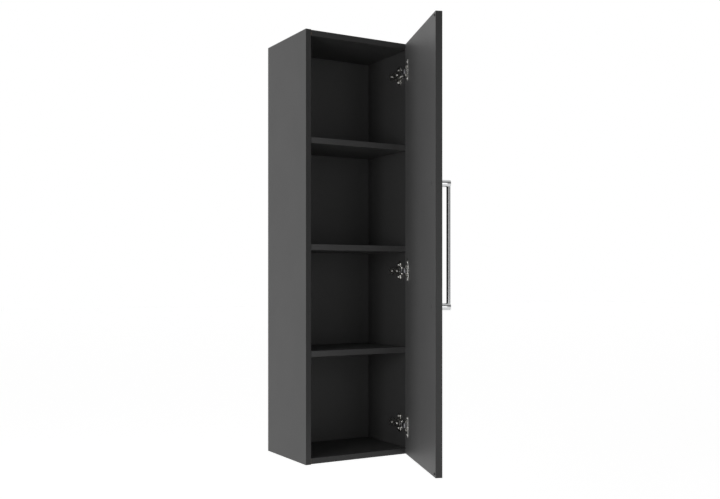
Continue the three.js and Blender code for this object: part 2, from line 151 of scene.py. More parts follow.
def makeHairlines():
    # short fine marks that run one way, for rolled and plated metal
    tree, given, result = newGroup("fineHairlines", [
        ("Stretch", vectorKind, (1.0, 1.0, 0.1)), ("Scale", floatKind, 900.0),
    ], [("Mask", floatKind)])
    place = addNode(tree, "TexCoord").outputs["Object"]
    asked = given.outputs
    long = addNode(tree, "VectorMath", {"operation": "MULTIPLY"}, i0=place, i1=asked["Stretch"]).outputs[0]
    lines = addNode(tree, "TexNoise", Vector=long, Scale=asked["Scale"], Detail=4.0, Roughness=0.6)
    tree.links.new(lines.outputs["Fac"], result.inputs["Mask"])
    return tree


fineSpeckle = makeSpeckle()
fineHairlines = makeHairlines()


def newMaterial(name, **sockets):
    material = bpy.data.materials.new(name)
    material.use_nodes = True
    shader = material.node_tree.nodes["Principled BSDF"]
    for key, value in sockets.items():
        shader.inputs[key].default_value = value
    return material, material.node_tree, shader


def useGroup(tree, group, **inputs):
    node = tree.nodes.new("ShaderNodeGroup")
    node.node_tree = group
    for key, value in inputs.items():
        node.inputs[key.replace("_", " ")].default_value = value
    return node


def bump(tree, shader, height, strength, distance):
    node = addNode(tree, "Bump", Height=height, Strength=strength, Distance=distance)
    tree.links.new(node.outputs["Normal"], shader.inputs["Normal"])


finishStyle = {
    "noise": (0.3, 0.7),                         # the part of a noise's range that the gloss follows
    "ior": 1.45,
    "grainDepth": 0.1 * mm, "chipDepth": 0.2 * mm, "lineDepth": 0.05 * mm,
    "lineGloss": (0.75, 1.35),                   # of a metal's roughness, along its hairlines
}


def spread(tree, source, low, high):
    # what lies in the noise's range becomes low to high
    start, end = finishStyle["noise"]
    spreader = addNode(tree, "MapRange", {"clamp": True}, Value=source, i1=start, i2=end, i3=low, i4=high)
    return spreader.outputs[0]


def speckledMaterial(style):
    material, tree, shader = newMaterial(style["name"], Roughness=style["roughness"])
    shader.inputs["IOR"].default_value = style.get("ior", finishStyle["ior"])
    grain = useGroup(tree, fineSpeckle, Color=style["color"], Grain_Scale=style["grainScale"],
                     Grain_Amount=style["grainAmount"], Mottle_Amount=style["mottle"])
    tree.links.new(grain.outputs["Color"], shader.inputs["Base Color"])
    gloss = spread(tree, grain.outputs["Mottle"], style["roughness"] - style["glossRange"],
                   style["roughness"] + style["glossRange"])
    tree.links.new(gloss, shader.inputs["Roughness"])
    bump(tree, shader, grain.outputs["Height"], style["bump"], finishStyle["grainDepth"])
    return material


def chipMaterial(style):
    # raw chipboard: flat wood chips of mixed browns
    material, tree, shader = newMaterial(style["name"], Roughness=style["roughness"])
    place = addNode(tree, "TexCoord").outputs["Object"]
    torn = addNode(tree, "TexNoise", Vector=place, Scale=style["tearScale"], Detail=2.0).outputs["Color"]
    tear = (style["tear"],) * 3
    bent = addNode(tree, "VectorMath", {"operation": "MULTIPLY_ADD"}, i0=torn, i1=tear, i2=place).outputs[0]
    chips = addNode(tree, "TexVoronoi", Vector=bent, Scale=style["chipScale"], Randomness=1.0)
    dust = addNode(tree, "TexNoise", Vector=place, Scale=style["dustScale"], Detail=3.0).outputs["Fac"]
    tone = addNode(tree, "SeparateColor", Color=chips.outputs["Color"]).outputs[0]
    share = style["chipShare"]
    mixed = math(tree, "ADD", math(tree, "MULTIPLY", tone, share), math(tree, "MULTIPLY", dust, 1 - share))
    ramp = addNode(tree, "ValToRGB", Fac=mixed)
    for stop, (position, tint) in zip(ramp.color_ramp.elements, style["tones"]):
        stop.position = position
        stop.color = tint
    tree.links.new(ramp.outputs["Color"], shader.inputs["Base Color"])
    bump(tree, shader, mixed, style["bump"], finishStyle["chipDepth"])
    return material


def metalMaterial(style):
    material, tree, shader = newMaterial(style["name"], Metallic=1.0, Roughness=style["roughness"])
    shader.inputs["Base Color"].default_value = style["color"]
    lines = useGroup(tree, fineHairlines, Stretch=style["stretch"], Scale=style["scale"])
    least, most = finishStyle["lineGloss"]
    gloss = spread(tree, lines.outputs["Mask"], style["roughness"] * least, style["roughness"] * most)
    tree.links.new(gloss, shader.inputs["Roughness"])
    bump(tree, shader, lines.outputs["Mask"], style["bump"], finishStyle["lineDepth"])
    return material


melamine = speckledMaterial({
    "name": "melamine", "color": colour(62, 62, 62), "roughness": 0.5, "glossRange": 0.02,
    "grainScale": 2600.0, "grainAmount": 0.5, "mottle": 0.05, "bump": 0.12,
})
# the door's inner face is the same board as melamine, given a lighter colour as painted light for the light
# that falls on it
doorLining = speckledMaterial({
    "name": "doorLining", "color": colour(90, 90, 90), "roughness": 0.5, "ior": 1.32, "glossRange": 0.03,
    "grainScale": 1500.0, "grainAmount": 0.6, "mottle": 0.08, "bump": 0.12,
})
bandStyle = {
    "roughness": 0.48, "glossRange": 0.03, "grainScale": 1400.0, "grainAmount": 0.25, "mottle": 0.06,
    "bump": 0.08,
}
edgeBand = speckledMaterial({"name": "edgeBand", "color": colour(46, 46, 46), **bandStyle})
shelfBand = speckledMaterial({"name": "shelfBand", "color": colour(68, 68, 68), **bandStyle})
# the back's front face: a board of its own tone, lifted further as painted light for the light that reaches
# the back of the inside
backing = speckledMaterial({
    "name": "backing", "color": colour(76, 76, 76), "roughness": 0.52, "glossRange": 0.03,
    "grainScale": 1800.0, "grainAmount": 0.35, "mottle": 0.08, "bump": 0.15,
})
hardboard = speckledMaterial({
    "name": "hardboard", "color": colour(122, 92, 66), "roughness": 0.7, "glossRange": 0.06,
    "grainScale": 900.0, "grainAmount": 0.6, "mottle": 0.35, "bump": 0.3,
})
coverPlastic = speckledMaterial({
    "name": "coverPlastic", "color": colour(80, 80, 80), "roughness": 0.45, "glossRange": 0.03,
    "grainScale": 1200.0, "grainAmount": 0.15, "mottle": 0.04, "bump": 0.08,
})
chipboard = chipMaterial({
    "name": "chipboard", "roughness": 0.85, "chipScale": 800.0, "tearScale": 1280.0, "dustScale": 2400.0,
    "tear": 1.2 * mm,                            # how far the chips' edges are torn
    "chipShare": 0.55, "bump": 0.5,              # the chips' share of the tone; the rest is fine dust
    "tones": [(0.15, colour(112, 82, 52)), (0.9, colour(206, 172, 126))],
})
nickel = metalMaterial({
    "name": "nickel", "color": colour(214, 213, 209), "roughness": 0.24, "stretch": (1.0, 0.15, 1.0),
    "scale": 900.0, "bump": 0.05,
})
brightNickel = metalMaterial({
    "name": "brightNickel", "color": colour(236, 235, 232), "roughness": 0.26, "stretch": (1.0, 1.0, 1.0),
    "scale": 900.0, "bump": 0.04,
})
zinc = metalMaterial({
    "name": "zinc", "color": colour(206, 208, 210), "roughness": 0.42, "stretch": (1.0, 1.0, 0.4),
    "scale": 800.0, "bump": 0.06,
})
chrome = metalMaterial({
    "name": "chrome", "color": colour(198, 199, 200), "roughness": 0.09, "stretch": (1.0, 1.0, 0.1),
    "scale": 500.0, "bump": 0.01,
})
darkSteel = metalMaterial({
    "name": "darkSteel", "color": colour(118, 118, 120), "roughness": 0.42, "stretch": (1.0, 1.0, 0.4),
    "scale": 800.0, "bump": 0.06,
})
rubber = speckledMaterial({
    "name": "rubber", "color": colour(66, 66, 67), "roughness": 0.7, "glossRange": 0.05,
    "grainScale": 1800.0, "grainAmount": 0.3, "mottle": 0.1, "bump": 0.2,
})
print("materials made")


meshStyle = {
    "sharpAngle": 35,            # degrees; a steeper turn stays sharp, or gets an arris
    "evenness": 100,             # at most, so that big flat faces stay flat beside their arris
    "weld": 0.01 * mm,           # corners closer than this become one
    "sheetWeld": 0.001,          # the same for a sheet's corners, in mm
    "flatAngle": 0.5,            # degrees; copied faces that turn less than this are joined
}


def addPiece(name, bm, body, materials, replaces=(), turn=None, sharpAngle=meshStyle["sharpAngle"]):
    if turn:
        bmesh.ops.transform(bm, matrix=turn, verts=bm.verts)
    mesh = bpy.data.meshes.new(name)
    bm.to_mesh(mesh)
    bm.free()
    mesh.shade_smooth()
    mesh.set_sharp_from_angle(angle=radians(sharpAngle))
    piece = bpy.data.objects.new(name, mesh)
    scene.collection.objects.link(piece)
    for material in materials:
        mesh.materials.append(material)
    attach(piece, body)
    if replaces:
        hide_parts(*replaces)
    return piece


def softenEdges(piece, width, segments=2, byWeight=False):
    bevel = piece.modifiers.new("arris", "BEVEL")
    bevel.width = width
    bevel.segments = segments
    bevel.limit_method = "WEIGHT" if byWeight else "ANGLE"
    bevel.angle_limit = radians(meshStyle["sharpAngle"])
    even = piece.modifiers.new("flatFaces", "WEIGHTED_NORMAL")
    even.weight = meshStyle["evenness"]


def copyOfNode(node, turn=None):
    bm = bmesh.new()
    bm.from_mesh(frame["nodes"][node].data)
    if turn:
        bmesh.ops.transform(bm, matrix=turn, verts=bm.verts)
    bmesh.ops.remove_doubles(bm, verts=bm.verts, dist=meshStyle["weld"])
    bmesh.ops.dissolve_limit(bm, angle_limit=radians(meshStyle["flatAngle"]), verts=bm.verts, edges=bm.edges)
    return bm


boardStyle = {
    "arris": 0.35 * mm,      # rounding of a banded edge
    "arrisSteps": 2,
    "backArris": 0.2 * mm,
    "backSkin": 1.0 * mm,    # the back panel's bare rear reaches this far forward
    "onPlane": 0.02 * mm,    # how close a face lies to the board's box to count as its outside
}
plain, taped, raw, paintedLightSide = range(4)              # what covers a side: the board's materials in their order


def banded(node, name, body, faces, edges, band, turn=None):
    # faces and edges say what covers each side of the board's box, and the rest is raw
    bm = copyOfNode(node, turn and swingShut)
    low, high = boxAround([v.co for v in bm.verts])
    cover = {**faces, **edges}
    near = boardStyle["onPlane"]

    def sides(vert):
        found = set()
        for i, letter in enumerate("xyz"):
            if abs(vert.co[i] - low[i]) < near:
                found.add("-" + letter)
            if abs(vert.co[i] - high[i]) < near:
                found.add("+" + letter)
        return found

    for face in bm.faces:
        shared = set.intersection(*[sides(v) for v in face.verts])
        face.material_index = cover.get(next(iter(shared), None), raw)
    weight = bm.edges.layers.float.new("bevel_weight_edge")
    for edge in bm.edges:
        shared = sides(edge.verts[0]) & sides(edge.verts[1])
        edge[weight] = 1.0 if len(shared) == 2 else 0.0
    piece = addPiece(name, bm, body, [melamine, band, chipboard, doorLining], [node], turn)
    softenEdges(piece, boardStyle["arris"], boardStyle["arrisSteps"], byWeight=True)
    return piece


upright = {"-x": plain, "+x": plain}
flat = {"-z": plain, "+z": plain}
sideEdges = {"-y": taped, "+y": raw, "-z": taped, "+z": taped}
flatEdges = {"-y": taped, "+y": raw, "-x": raw, "+x": raw}
railEdges = {"-z": taped, "+z": raw, "-x": raw, "+x": raw}
doorEdges = {"-x": taped, "+x": taped, "-z": taped, "+z": taped}
for side in ("left", "right"):
    banded(f"side_panel_{side}", f"sideBoard.{side}", "carcass", upright, sideEdges, edgeBand)
for node, name in (("top_panel", "topBoard"), ("bottom_panel", "bottomBoard")):
    banded(node, name, "carcass", flat, flatEdges, edgeBand)
for level in levels:
    banded(f"shelf_{level}", f"shelfBoard.{level}", "carcass", flat, flatEdges, shelfBand)
banded("hanging_rail", "railBoard", "carcass", {"-y": plain, "+y": plain}, railEdges, shelfBand)
# the door's inner face takes the lighter colour, which is painted light
banded("door_panel", "doorBoard", "door", {"-y": plain, "+y": paintedLightSide}, doorEdges, edgeBand, swingOpen)
print("boards made")


def makeBack():
    bm = copyOfNode("back_panel")
    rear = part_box("back_panel")[1].y
    for face in bm.faces:
        facesFront = all(v.co.y < rear - boardStyle["backSkin"] for v in face.verts)
        face.material_index = 0 if facesFront else 1
    piece = addPiece("backBoard", bm, "carcass", [backing, hardboard], ["back_panel"])
    softenEdges(piece, boardStyle["backArris"])


makeBack()


# the shapes from here on come from outlines and profiles in mm
def ringLoft(bm, rings):
    # skins from ring to ring and closes both ends
    rows = [[bm.verts.new(p) for p in ring] for ring in rings]
    count = len(rows[0])
    faces = [bm.faces.new((a[i], a[(i + 1) % count], b[(i + 1) % count], b[i]))
             for a, b in zip(rows, rows[1:]) for i in range(count)]
    faces += [bm.faces.new(reversed(rows[0])), bm.faces.new(rows[-1])]
    bmesh.ops.recalc_face_normals(bm, faces=faces)
    return bm


def turnsOf(sides):
    return [2 * pi * i / sides for i in range(sides)]


def lathe(bm, profile, sides, place):
    # profile of (radius, height) turned about the z axis, then set in place
    turns = turnsOf(sides)
    return ringLoft(bm, [[place @ Vector((r * cos(t), r * sin(t), h)) for t in turns] for r, h in profile])


def roundedOutline(corners, steps=6):
    # corners of (x, y, radius); each becomes an arc of its own radius
    points = []
    for i, (x, y, radius) in enumerate(corners):
        here = Vector((x, y))
        before = (Vector(corners[i - 1][:2]) - here).normalized()
        after = (Vector(corners[(i + 1) % len(corners)][:2]) - here).normalized()
        half = before.angle(after) / 2
        middle = here + (before + after).normalized() * radius / sin(half)
        first = here + before * radius / tan(half) - middle
        last = here + after * radius / tan(half) - middle
        start = atan2(first.y, first.x)
        turn = (atan2(last.y, last.x) - start + pi) % (2 * pi) - pi
        ways = [start + turn * k / steps for k in range(steps + 1)]
        points += [(middle.x + radius * cos(way), middle.y + radius * sin(way)) for way in ways]
    return points


def circle(x, y, radius, sides=28):
    return [(x + radius * cos(t), y + radius * sin(t)) for t in turnsOf(sides)]


def slot(x, y, width, length, steps=8):
    # a round-ended slot along y, its corners a trace under half round so that no two points fall together
    w, h = width / 2, length / 2
    corners = [(x - w, y - h), (x + w, y - h), (x + w, y + h), (x - w, y + h)]
    return roundedOutline([(cx, cy, w * 0.999) for cx, cy in corners], steps)


def pressed(bm, outlines, low, high, edge, place, steps=1):
    # a sheet from height low to high with rounded edges: the outside outline first, then its holes
    curve = bpy.data.curves.new("sheet", "CURVE")
    curve.dimensions, curve.fill_mode = "2D", "BOTH"
    curve.extrude, curve.bevel_depth = (high - low) / 2 - edge, edge
    curve.bevel_resolution, curve.offset = steps, -edge
    for points in outlines:
        spline = curve.splines.new("POLY")
        spline.points.add(len(points) - 1)
        for target, (x, y) in zip(spline.points, points):
            target.co = (x, y, 0, 1)
        spline.use_cyclic_u = True
    holder = bpy.data.objects.new("sheet", curve)
    mesh = bpy.data.meshes.new_from_object(holder)
    bpy.data.objects.remove(holder)
    part = bmesh.new()
    part.from_mesh(mesh)
    bmesh.ops.remove_doubles(part, verts=part.verts, dist=meshStyle["sheetWeld"])
    bmesh.ops.recalc_face_normals(part, faces=part.faces)
    bmesh.ops.transform(part, matrix=place @ Matrix.Translation((0, 0, (low + high) / 2)), verts=part.verts)
    part.to_mesh(mesh)
    part.free()
    bm.from_mesh(mesh)
    return bm


def frameAt(origin, xAxis, yAxis, zAxis):
    # a frame in mm whose axes are given in the object's frame, and its origin in metres
    turned = Matrix((xAxis, yAxis, zAxis)).transposed().to_4x4()
    return Matrix.Translation(origin) @ turned @ Matrix.Scale(mm, 4)


handleStyle = {
    "barSides": 48, "barSharp": 50,
    "barGap": 0.1 * mm,      # the bar's hollowed ends stop this far from the posts' round
    "barRings": (0.25, 0.5, 0.75),
    "postSides": 64, "postSharp": 30,
    "postRim": 0.7 * mm,     # rounding at the post's free end
    "rimSteps": 5,
    "foot": 0.35 * mm,
    "dome": 1.3 * mm,        # how far the post's end swells
    "domeSteps": 9,
}


def makeBar():
    low, high = shutBox("handle_bar")
    centre = (low + high) / 2
    radius = (high.x - low.x) / 2
    postLow, postHigh = shutBox("handle_post_lower")
    upperPost = shutBox("handle_post_upper")
    postRadius = (postHigh.z - postLow.z) / 2 + handleStyle["barGap"]
    turns = turnsOf(handleStyle["barSides"])

    def ring(z, way):
        across = [(radius * cos(t), radius * sin(t)) for t in turns]
        return [(centre.x + x, centre.y + y, z + way * sqrt(postRadius ** 2 - x * x)) for x, y in across]

    lowZ = (postLow.z + postHigh.z) / 2
    highZ = (upperPost[0].z + upperPost[1].z) / 2
    rim = [(centre.x + radius * cos(t), centre.y + radius * sin(t)) for t in turns]
    middles = [[(x, y, lowZ + (highZ - lowZ) * k) for x, y in rim] for k in handleStyle["barRings"]]
    bm = ringLoft(bmesh.new(), [ring(lowZ, 1), *middles, ring(highZ, -1)])
    addPiece("handleBar", bm, "door", [chrome], ["handle_bar"], swingOpen,
             handleStyle["barSharp"])


def makePost(where):
    low, high = shutBox(f"handle_post_{where}")
    centre = (low + high) / 2
    radius = (high.x - low.x) / 2
    rim, foot, dome = handleStyle["postRim"], handleStyle["foot"], handleStyle["dome"]
    rimSteps, domeSteps = handleStyle["rimSteps"], handleStyle["domeSteps"]
    length = high.y - low.y - dome
    profile = [(radius - foot, 0), (radius, foot), (radius, length * 0.33), (radius, length * 0.66)]
    for i in range(rimSteps + 1):
        a = pi / 2 * i / rimSteps
        profile.append((radius - rim + rim * cos(a), length - rim + rim * sin(a)))
    inner = radius - rim
    for i in range(1, domeSteps):
        r = inner * (1 - i / domeSteps)
        profile.append((r, length + dome * (1 - (r / inner) ** 2)))
    turns = turnsOf(handleStyle["postSides"])
    rings = [[(centre.x + r * cos(t), high.y - h, centre.z + r * sin(t)) for t in turns]
             for r, h in profile]
    bm = ringLoft(bmesh.new(), rings)
    addPiece(f"handlePost.{where}", bm, "door", [chrome], [f"handle_post_{where}"], swingOpen,
             handleStyle["postSharp"])


makeBar()
for where in ("lower", "upper"):
    makePost(where)
print("handle made")

plateStyle = {
    "wall": 0.3, "top": 2.5, "edge": 0.3,        # its faces, off the side board, and its edges' rounding
    "wings": (31.0, 55.0, 28.0, 11.6),           # front, back, half span and corner rounding
    "base": (23.0, 71.0, 10.0),                  # front, back and half width
    "innerCorner": 1.2, "baseCorner": 2.0,
    "ridge": (22.0, 72.0, 6.4, 6.0),             # front, back, half width and height
    "ridgeCorner": 1.5, "ridgeEdge": 0.5,
    "screwLine": 48.0, "screwOut": 18.0, "screwHole": 2.9,
    "rib": (36.5, 3.2, 12.0, 4.1),               # back, width, length and height
    "ribEdge": 0.95, "ribSteps": 3,
    "sunk": (0.4, 0.5),                          # how far the ridge and the ribs go down into the plate
    "lockHole": (60.0, 2.7),                     # back and radius
    "sharp": 24,
}
armStyle = {
    "bend": 1.1, "edge": 0.22, "steps": 3,       # rounding of the two long bends, and of the other corners
    "rivetLine": (17.0, 6.0), "cheek": 9.2,      # off the side board and from the front, and half the width
    "near": 0.05, "longEdge": 5.0, "corner": 40,     # what is at the bend, what is long, what is a corner
}


def wallFrame(where):
    # x runs back from the cabinet's front, y down, z off the side board
    low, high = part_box(f"{where}_hinge_plate")
    origin = (high.x + plateStyle["wall"] * mm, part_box("side_panel_right")[0].y, (low.z + high.z) / 2)
    return frameAt(origin, (0, 1, 0), (0, 0, -1), (-1, 0, 0))


def makePlate(where):
    place = wallFrame(where)
    style = plateStyle
    front, back, span, rounding = style["wings"]
    baseFront, baseBack, half = style["base"]
    inner, outer = style["innerCorner"], style["baseCorner"]
    cross = [(back, -span, rounding), (back, -half, inner),
             (baseBack, -half, outer), (baseBack, half, outer),
             (back, half, inner), (back, span, rounding),
             (front, span, rounding), (front, half, inner),
             (baseFront, half, outer), (baseFront, -half, outer),
             (front, -half, inner), (front, -span, rounding)]
    sheet = [roundedOutline(cross)]
    sheet += [circle(style["screwLine"], side * style["screwOut"], style["screwHole"]) for side in (-1, 1)]
    bm = pressed(bmesh.new(), sheet, style["wall"], style["top"], style["edge"], place)
    start, end, width, height = style["ridge"]
    corners = ((start, -width), (end, -width), (end, width), (start, width))
    ridge = [(x, y, style["ridgeCorner"]) for x, y in corners]
    lockBack, lockRadius = style["lockHole"]
    sheet = [roundedOutline(ridge, 4), circle(lockBack, 0.0, lockRadius)]
    ridgeSunk, ribSunk = style["sunk"]
    pressed(bm, sheet, style["top"] - ridgeSunk, height, style["ridgeEdge"], place)
    ribBack, ribWidth, ribLength, ribTop = style["rib"]
    for side in (-1, 1):
        rib = slot(ribBack, side * style["screwOut"], ribWidth, ribLength)
        pressed(bm, [rib], style["top"] - ribSunk, ribTop, style["ribEdge"], place, style["ribSteps"])
    plateNode = f"{where}_hinge_plate"
    addPiece(f"hingePlate.{where}", bm, "carcass", [nickel], [plateNode], None, style["sharp"])


def makeArm(where):
    bm = copyOfNode(f"{where}_hinge_arm")
    inWall = wallFrame(where).inverted()
    top = max((inWall @ v.co).z for v in bm.verts)
    weight = bm.edges.layers.float.new("bevel_weight_edge")
    near, small = armStyle["near"], armStyle["edge"] / armStyle["bend"]
    for edge in bm.edges:
        a, b = [inWall @ v.co for v in edge.verts]
        atBend = min(a.z, b.z) > top - near and abs(abs(a.y) - armStyle["cheek"]) < near
        isCorner = edge.calc_face_angle(0) > radians(armStyle["corner"])
        if atBend and abs(a.x - b.x) > armStyle["longEdge"]:
            edge[weight] = 1.0
        else:
            edge[weight] = small if isCorner else 0.0
    piece = addPiece(f"hingeArm.{where}", bm, "carcass", [nickel], [f"{where}_hinge_arm"])
    softenEdges(piece, armStyle["bend"] * mm, armStyle["steps"], byWeight=True)


cupStyle = {
    "radius": 17.5, "mouth": 16.3, "depth": 13.2, "sides": 72, "proud": 1.5,
    "flange": (0.3, 1.9, 18.7),                  # its faces, above the door's, and its round part's radius
    "flangeEdge": 0.7, "flangeEdgeSteps": 3, "flangeSteps": 180,
    "holeGap": 0.2,                              # the flange stops this far outside the bowl's mouth
    "ears": (9.5, 18.0, 64.0),                   # away from the hinge edge, width and length
    "screwOut": 24.0, "screwHole": 2.2,
    "bracket": [(7.6, 7.0, 0.8), (14.2, 7.0, 0.8), (14.2, 8.2, 0.4), (11.6, 11.3, 0.8), (7.6, 13.6, 0.8)],
    "bracketTop": 3.3, "bracketFoot": 0.8, "bracketEdge": 0.4, "bracketSteps": 4,
    "sharp": 32,
}


def doorFrame(where):
    # in the closed door: x towards the hinge edge, y up, z into the door from its inner face, about the cup
    low, high = shutBox(f"{where}_hinge_cup")
    cupX = high.x - cupStyle["flange"][2] * mm
    face = high.y - cupStyle["proud"] * mm
    return frameAt((cupX, face, (low.z + high.z) / 2), (1, 0, 0), (0, 0, 1), (0, -1, 0))


def reachInside(start, way, holds, far):
    # how far a straight walk from a point stays in a shape, found by halving
    near = 0.0
    for _ in range(30):
        middle = (near + far) / 2
        near, far = (middle, far) if holds(start + way * middle) else (near, middle)
    return near


def flangeOutline():
    # the round rim joined to the long ears, walked round from a point inside both
    away, width, length = cupStyle["ears"]
    rim, w, straight = cupStyle["flange"][2], width / 2, (length - width) / 2
    inside = Vector((-away / 2, 0.0))

    def inRim(p):
        return hypot(p.x, p.y) <= rim

    def inEars(p):
        return hypot(p.x + away, max(abs(p.y) - straight, 0.0)) <= w

    points = []
    for turn in turnsOf(cupStyle["flangeSteps"]):
        way = Vector((cos(turn), sin(turn)))
        reach = max(reachInside(inside, way, holds, length) for holds in (inRim, inEars))
        points.append(tuple(inside + way * reach))
    return points


def makeCup(where):
    place = doorFrame(where)
    style = cupStyle
    low, high = style["flange"][:2]
    r, mouth, depth = style["radius"], style["mouth"], style["depth"]
    away = style["ears"][0]
    sheet = [flangeOutline(), circle(0, 0, mouth + style["holeGap"], style["sides"])]
    sheet += [circle(-away, side * style["screwOut"], style["screwHole"]) for side in (-1, 1)]
    bm = pressed(bmesh.new(), sheet, -high, -low, style["flangeEdge"], place, style["flangeEdgeSteps"])
    # the bowl's outside and bottom, its rolled lip, then its inside down to the stamped ring in its floor
    outside = [(0.4, depth), (r - 1.6, depth), (r - 0.5, depth - 0.4), (r, depth - 1.4), (r, -low)]
    lip = [(r - 0.1, -high - 0.1), (r - 0.35, -high - 0.3),
           (mouth + 0.45, -high - 0.3), (mouth + 0.15, -high - 0.1)]
    inside = [(mouth, -low), (mouth, depth - 3.2), (mouth - 0.5, depth - 1.9), (mouth - 1.7, depth - 1.1)]
    floor = [(9.4, depth - 1.1), (8.8, depth - 1.3), (8.4, depth - 1.9), (0.4, depth - 1.9)]
    lathe(bm, outside + lip + inside + floor, style["sides"], place)
    for side in (-1, 1):
        corners = [(x, y * side, rounding) for x, y, rounding in style["bracket"]]
        outline = roundedOutline(corners, style["bracketSteps"])
        foot = depth - style["bracketFoot"]
        pressed(bm, [outline], style["bracketTop"], foot, style["bracketEdge"], place)
    cupNode = f"{where}_hinge_cup"
    addPiece(f"hingeCup.{where}", bm, "door", [brightNickel], [cupNode], swingOpen, style["sharp"])


linkStyle = {
    "width": 6.4, "cheek": 2.6, "thickness": 1.9, "edge": 0.4, "steps": 30,
    "innerWidth": 3.5, "innerThickness": 1.52, "innerEdge": 0.35, "innerSteps": 24,
    "innerSpan": (0.18, 0.86),                   # the share of the outer link's length it covers
    "eye": 2.2, "eyeSides": 28,
    "pin": 1.45, "pinReach": 9.4, "pinSides": 24,
    "roundOff": 0.3,                             # of an eye's or a pin's ends
    "slopeStep": 0.01,                           # how far apart the neck's slope is taken
    "sharp": 32,
    "arch": (-1.9, 15.5, 10.0, 15.5),            # the neck's two bending points, along the pins and off
    "armPin": (17.0, 6.0),                       # the pin in the arm: off the side board, from the front
}


def linkFrame(where):
    # x runs from the pin in the cup to the pin in the arm, z up
    joint = next(j for j in frame["joints"] if j["name"] == "link_fold")
    low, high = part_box(f"{where}_outer_link")
    pin = Vector((joint["pos_m"][0], joint["pos_m"][1], (low.z + high.z) / 2))
    rise, back = linkStyle["armPin"]
    along = wallFrame(where) @ Vector((back, 0, rise)) - pin
    reach = hypot(along.x, along.y)
    x, y = along.x / reach, along.y / reach
    return frameAt(pin, (x, y, 0), (-y, x, 0), (0, 0, 1)), reach / mm


def strap(reach, start, end, thickness, steps):
    # a strip of even thickness along the neck's curve, from one share of its length to another
    ax, ay, bx, by = linkStyle["arch"]

    def neck(t):
        u = 1 - t
        first, second = 3 * u * u * t, 3 * u * t * t
        return first * ax + second * bx + t ** 3 * reach, first * ay + second * by

    outside, inside = [], []
    little = linkStyle["slopeStep"]
    for i in range(steps + 1):
        t = start + (end - start) * i / steps
        (x0, y0), (x1, y1) = neck(max(t - little, 0)), neck(min(t + little, 1))
        size = hypot(x1 - x0, y1 - y0)
        x, y = neck(t)
        nx, ny = -(y1 - y0) / size * thickness / 2, (x1 - x0) / size * thickness / 2
        outside.append((x + nx, y + ny))
        inside.insert(0, (x - nx, y - ny))
    return outside + inside


def makeLinks(where):
    place, reach = linkFrame(where)
    style = linkStyle
    w, eye, off = style["width"], style["eye"], style["roundOff"]
    inner = w - style["cheek"]
    bm = bmesh.new()
    for low, high in ((inner, w), (-w, -inner)):
        cheek = strap(reach, 0, 1, style["thickness"], style["steps"])
        pressed(bm, [cheek], low, high, style["edge"], place)
    for x in (0, reach):
        spot = place @ Matrix.Translation((x, 0, 0))
        profile = [(eye - 0.4, -w), (eye, -w + off), (eye, w - off), (eye - 0.4, w)]
        lathe(bm, profile, style["eyeSides"], spot)
    pin, end = style["pin"], style["pinReach"]
    profile = [(pin - off, -end), (pin, off - end), (pin, end - off), (pin - off, end)]
    lathe(bm, profile, style["pinSides"], place)
    outerNode, innerNode = f"{where}_outer_link", f"{where}_inner_link"
    addPiece(f"linkOuter.{where}", bm, "hinge_links", [darkSteel], [outerNode], None, style["sharp"])
    half = style["innerWidth"]
    inner = strap(reach, *style["innerSpan"], style["innerThickness"], style["innerSteps"])
    bm = pressed(bmesh.new(), [inner], -half, half, style["innerEdge"], place)
    addPiece(f"linkInner.{where}", bm, "hinge_links", [darkSteel], [innerNode], None, style["sharp"])


for where in levels:
    makePlate(where)
    makeArm(where)
    makeCup(where)
    makeLinks(where)
print("hinges made")


def makeStandTree():
    # stands a copy of the master on every point, along the point's facing, at its size and turned at random
    tree = bpy.data.node_groups.new("standOnPoints", "GeometryNodeTree")
    for label, kind in (("Geometry", "NodeSocketGeometry"), ("Master", "NodeSocketObject"),
                        ("Finish", "NodeSocketMaterial"), ("Seed", "NodeSocketInt")):
        tree.interface.new_socket(label, in_out="INPUT", socket_type=kind)
    tree.interface.new_socket("Geometry", in_out="OUTPUT", socket_type="NodeSocketGeometry")
    asked, result = tree.nodes.new("NodeGroupInput").outputs, tree.nodes.new("NodeGroupOutput")

    def node(kind, settings=None, **inputs):
        return addNode(tree, kind, settings, "GeometryNode", **inputs)

    master = node("ObjectInfo", Object=asked["Master"], As_Instance=True).outputs["Geometry"]
    vectors = {"data_type": "FLOAT_VECTOR"}
    facing = node("InputNamedAttribute", vectors, Name="facing").outputs["Attribute"]
    size = node("InputNamedAttribute", vectors, Name="size").outputs["Attribute"]
    aim = addNode(tree, "AlignRotationToVector", {"axis": "Z"}, "FunctionNode", Vector=facing)
    copies = node("InstanceOnPoints", Points=asked["Geometry"], Instance=master,
                  Rotation=aim.outputs["Rotation"], Scale=size)
    chance = addNode(tree, "RandomValue", {"data_type": "FLOAT"}, "FunctionNode", Seed=asked["Seed"])
    turn = math(tree, "MULTIPLY", next(s for s in chance.outputs if s.enabled), 2 * pi)
    spin = addNode(tree, "CombineXYZ", Z=turn).outputs[0]
    turned = node("RotateInstances", Instances=copies.outputs["Instances"], Rotation=spin, Local_Space=True)
    real = node("RealizeInstances", Geometry=turned.outputs["Instances"])
    finished = node("SetMaterial", Geometry=real.outputs["Geometry"], Material=asked["Finish"])
    tree.links.new(finished.outputs["Geometry"], result.inputs["Geometry"])
    return tree


standTree = makeStandTree()


